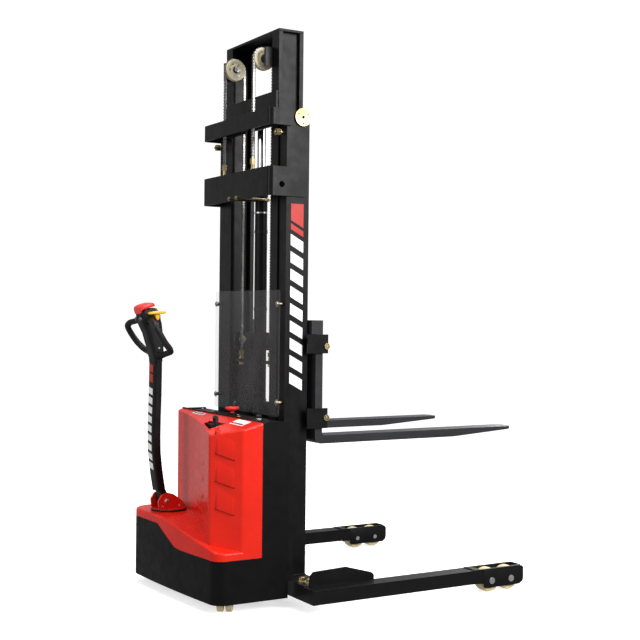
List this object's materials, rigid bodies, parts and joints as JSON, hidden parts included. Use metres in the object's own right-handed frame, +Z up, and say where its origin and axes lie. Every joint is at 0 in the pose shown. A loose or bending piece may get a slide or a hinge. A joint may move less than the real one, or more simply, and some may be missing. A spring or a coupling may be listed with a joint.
{
  "type": "walkie stacker",
  "caption": "Pedestrian straddle stacker: telescopic chain mast, sliding forks, load legs with twin rollers, red battery tower and offset tiller.",
  "frame": {"origin": "centre of the machine's footprint on the floor, midway between the fork tips and the rear of the tiller head", "axes": "+X towards the fork tips, +Y to the machine's left, +Z up; forks raised part way, tiller upright"},
  "size_m": [1.6386, 1.176, 2.4],
  "materials": {
    "black_paint": "satin",
    "red_cover": "gloss",
    "tiller_red": "gloss",
    "red_cap": "gloss",
    "tray_black": "matte",
    "battery_case": "matte",
    "pump_paint": "satin",
    "controller_cast": "satin",
    "connector_black": "matte",
    "estop_yellow": "gloss",
    "estop_red": "gloss",
    "key_steel": "satin",
    "guard_clear": "gloss",
    "zinc": "satin",
    "axle_steel": "satin",
    "pu_wheel": "satin",
    "drive_tyre": "matte",
    "rod_chrome": "polished",
    "sheave_cream": "satin",
    "chain_steel": "oiled",
    "roller_steel": "satin",
    "fork_grey": "satin",
    "drive_cast": "satin",
    "arm_black": "satin",
    "head_black": "matte",
    "yellow_lever": "gloss",
    "button_grey": "matte",
    "castor_steel": "satin"
  },
  "bodies": {
    "truck": {"chassis_frame": "black_paint", "base_plate": "black_paint", "body_cover": "red_cover", "top_tray": "tray_black", "battery": "battery_case", "power_pack": "pump_paint", "controller": "controller_cast", "battery_connector": "connector_black", "estop_body": "estop_yellow", "key_switch": "key_steel", "outer_channel_left": "black_paint", "outer_channel_right": "black_paint", "lower_bracket": "black_paint", "upper_bracket": "black_paint", "mast_base": "black_paint", "lift_cylinder": "black_paint", "mast_guard": "guard_clear", "frame_bolts": "zinc", "roller_flanges": "zinc", "chain_anchors": "zinc", "leg_left": "black_paint", "leg_right": "black_paint", "wheel_axles": "axle_steel", "chain_strands_rear": "chain_steel"},
    "lifting_mast": {"inner_channel_left": "black_paint", "inner_channel_right": "black_paint", "inner_top_plate": "black_paint", "crosshead": "black_paint", "inner_lower_tie": "black_paint", "piston_rod": "rod_chrome", "sheave_axles": "axle_steel", "chain_wraps": "chain_steel", "chain_strands_front": "chain_steel"},
    "carriage": {"carriage_frame": "black_paint", "carriage_fittings": "zinc"},
    "fork_left": {"fork_left": "fork_grey"},
    "fork_right": {"fork_right": "fork_grey"},
    "sheave_left": {"sheave_left": "sheave_cream"},
    "sheave_right": {"sheave_right": "sheave_cream"},
    "mast_rollers_top": {"mast_rollers_top": "roller_steel"},
    "mast_rollers_low": {"mast_rollers_low": "roller_steel"},
    "carriage_rollers_high": {"carriage_rollers_high": "roller_steel"},
    "carriage_rollers_low": {"carriage_rollers_low": "roller_steel"},
    "steering": {"drive_unit": "drive_cast", "tiller_base": "tiller_red"},
    "drive_wheel": {"drive_wheel": "drive_tyre"},
    "tiller": {"tiller_arm": "arm_black", "tiller_head": "head_black"},
    "belly_button": {"belly_button": "red_cap"},
    "throttle": {"throttle": "yellow_lever"},
    "lift_button": {"lift_button": "button_grey"},
    "lower_button": {"lower_button": "button_grey"},
    "castor": {"castor_fork": "castor_steel"},
    "castor_wheels": {"castor_wheels": "pu_wheel"},
    "load_wheel_front_left": {"load_wheel_front_left": "pu_wheel"},
    "load_wheel_front_right": {"load_wheel_front_right": "pu_wheel"},
    "load_wheel_rear_left": {"load_wheel_rear_left": "pu_wheel"},
    "load_wheel_rear_right": {"load_wheel_rear_right": "pu_wheel"},
    "estop_knob": {"estop_knob": "estop_red"},
    "key": {"key": "key_steel"}
  },
  "joints": [
    {"name": "inner_mast_slide", "type": "slide", "parent": "truck", "child": "lifting_mast", "axis": [0, 0, 1], "range_m": [-0.298, 1.1], "deforming": ["chain_strands_rear"]},
    {"name": "carriage_slide", "type": "slide", "parent": "lifting_mast", "child": "carriage", "axis": [0, 0, 1], "range_m": [-0.298, 1.1], "deforming": ["chain_strands_front"]},
    {"name": "fork_left_shift", "type": "slide", "parent": "carriage", "child": "fork_left", "axis": [0, -1, 0], "range_m": [0, 0.18]},
    {"name": "fork_right_shift", "type": "slide", "parent": "carriage", "child": "fork_right", "axis": [0, 1, 0], "range_m": [0, 0.18]},
    {"name": "sheave_left_spin", "type": "hinge", "parent": "lifting_mast", "child": "sheave_left", "pos_m": [-0.39738, 0.137, 2.286], "axis": [0, 1, 0], "range_deg": [-1500, 600]},
    {"name": "sheave_right_spin", "type": "hinge", "parent": "lifting_mast", "child": "sheave_right", "pos_m": [-0.39738, -0.137, 2.286], "axis": [0, 1, 0], "range_deg": [-1500, 600]},
    {"name": "mast_rollers_top_spin", "type": "hinge", "parent": "truck", "child": "mast_rollers_top", "pos_m": [-0.32388, 0, 2.004], "axis": [0, 1, 0], "range_deg": [-600, 1800]},
    {"name": "mast_rollers_low_spin", "type": "hinge", "parent": "lifting_mast", "child": "mast_rollers_low", "pos_m": [-0.32388, 0, 0.472], "axis": [0, 1, 0], "range_deg": [-1800, 600]},
    {"name": "carriage_rollers_high_spin", "type": "hinge", "parent": "carriage", "child": "carriage_rollers_high", "pos_m": [-0.32388, 0, 1.068], "axis": [0, 1, 0], "range_deg": [-600, 1800]},
    {"name": "carriage_rollers_low_spin", "type": "hinge", "parent": "carriage", "child": "carriage_rollers_low", "pos_m": [-0.32388, 0, 0.77], "axis": [0, 1, 0], "range_deg": [-1800, 600]},
    {"name": "steer", "type": "hinge", "parent": "truck", "child": "steering", "pos_m": [-0.65738, 0.225, 0], "axis": [0, 0, 1], "range_deg": [-75, 75]},
    {"name": "drive_wheel_spin", "type": "hinge", "parent": "steering", "child": "drive_wheel", "pos_m": [-0.65738, 0.225, 0.1], "axis": [0, 1, 0], "continuous": true},
    {"name": "tiller_tilt", "type": "hinge", "parent": "steering", "child": "tiller", "pos_m": [-0.68838, 0.225, 0.375], "axis": [0, -1, 0], "range_deg": [0, 80]},
    {"name": "belly_button_push", "type": "slide", "parent": "tiller", "child": "belly_button", "axis": [0.2588, 0, -0.9659], "range_m": [0, 0.004], "stiffness_N_per_m": 1200, "springref_m": -0.003},
    {"name": "throttle_turn", "type": "hinge", "parent": "tiller", "child": "throttle", "pos_m": [-0.74338, 0.225, 1.189], "axis": [0, 1, 0], "range_deg": [-11, 11], "stiffness_Nm_per_rad": 1},
    {"name": "lift_button_push", "type": "slide", "parent": "tiller", "child": "lift_button", "axis": [1, 0, 0], "range_m": [0, 0.003], "stiffness_N_per_m": 400, "springref_m": -0.002},
    {"name": "lower_button_push", "type": "slide", "parent": "tiller", "child": "lower_button", "axis": [1, 0, 0], "range_m": [0, 0.003], "stiffness_N_per_m": 400, "springref_m": -0.002},
    {"name": "castor_swivel", "type": "hinge", "parent": "truck", "child": "castor", "pos_m": [-0.63538, -0.308, 0], "axis": [0, 0, 1], "continuous": true},
    {"name": "castor_spin", "type": "hinge", "parent": "castor", "child": "castor_wheels", "pos_m": [-0.64938, -0.33225, 0.05], "axis": [0.866, -0.5, 0], "continuous": true},
    {"name": "load_wheel_rear_left_spin", "type": "hinge", "parent": "truck", "child": "load_wheel_rear_left", "pos_m": [0.51362, 0.5455, 0.051], "axis": [0, 1, 0], "continuous": true},
    {"name": "load_wheel_rear_right_spin", "type": "hinge", "parent": "truck", "child": "load_wheel_rear_right", "pos_m": [0.51362, -0.5455, 0.051], "axis": [0, 1, 0], "continuous": true},
    {"name": "load_wheel_front_left_spin", "type": "hinge", "parent": "truck", "child": "load_wheel_front_left", "pos_m": [0.61962, 0.5455, 0.051], "axis": [0, 1, 0], "continuous": true},
    {"name": "load_wheel_front_right_spin", "type": "hinge", "parent": "truck", "child": "load_wheel_front_right", "pos_m": [0.61962, -0.5455, 0.051], "axis": [0, 1, 0], "continuous": true},
    {"name": "estop_push", "type": "slide", "parent": "truck", "child": "estop_knob", "axis": [0, 0, -1], "range_m": [0, 0.005]},
    {"name": "key_turn", "type": "hinge", "parent": "truck", "child": "key", "pos_m": [-0.49538, -0.314, 0], "axis": [0, 0, 1], "range_deg": [0, 70]}
  ],
  "couplings": [
    {"joint": "carriage_slide", "follows": "inner_mast_slide", "ratio": 1},
    {"joint": "sheave_left_spin", "follows": "inner_mast_slide", "rad_per_m": -21.277},
    {"joint": "sheave_right_spin", "follows": "inner_mast_slide", "rad_per_m": -21.277},
    {"joint": "mast_rollers_top_spin", "follows": "inner_mast_slide", "rad_per_m": 25},
    {"joint": "mast_rollers_low_spin", "follows": "inner_mast_slide", "rad_per_m": -25},
    {"joint": "carriage_rollers_high_spin", "follows": "inner_mast_slide", "rad_per_m": 25},
    {"joint": "carriage_rollers_low_spin", "follows": "inner_mast_slide", "rad_per_m": -25}
  ]
}
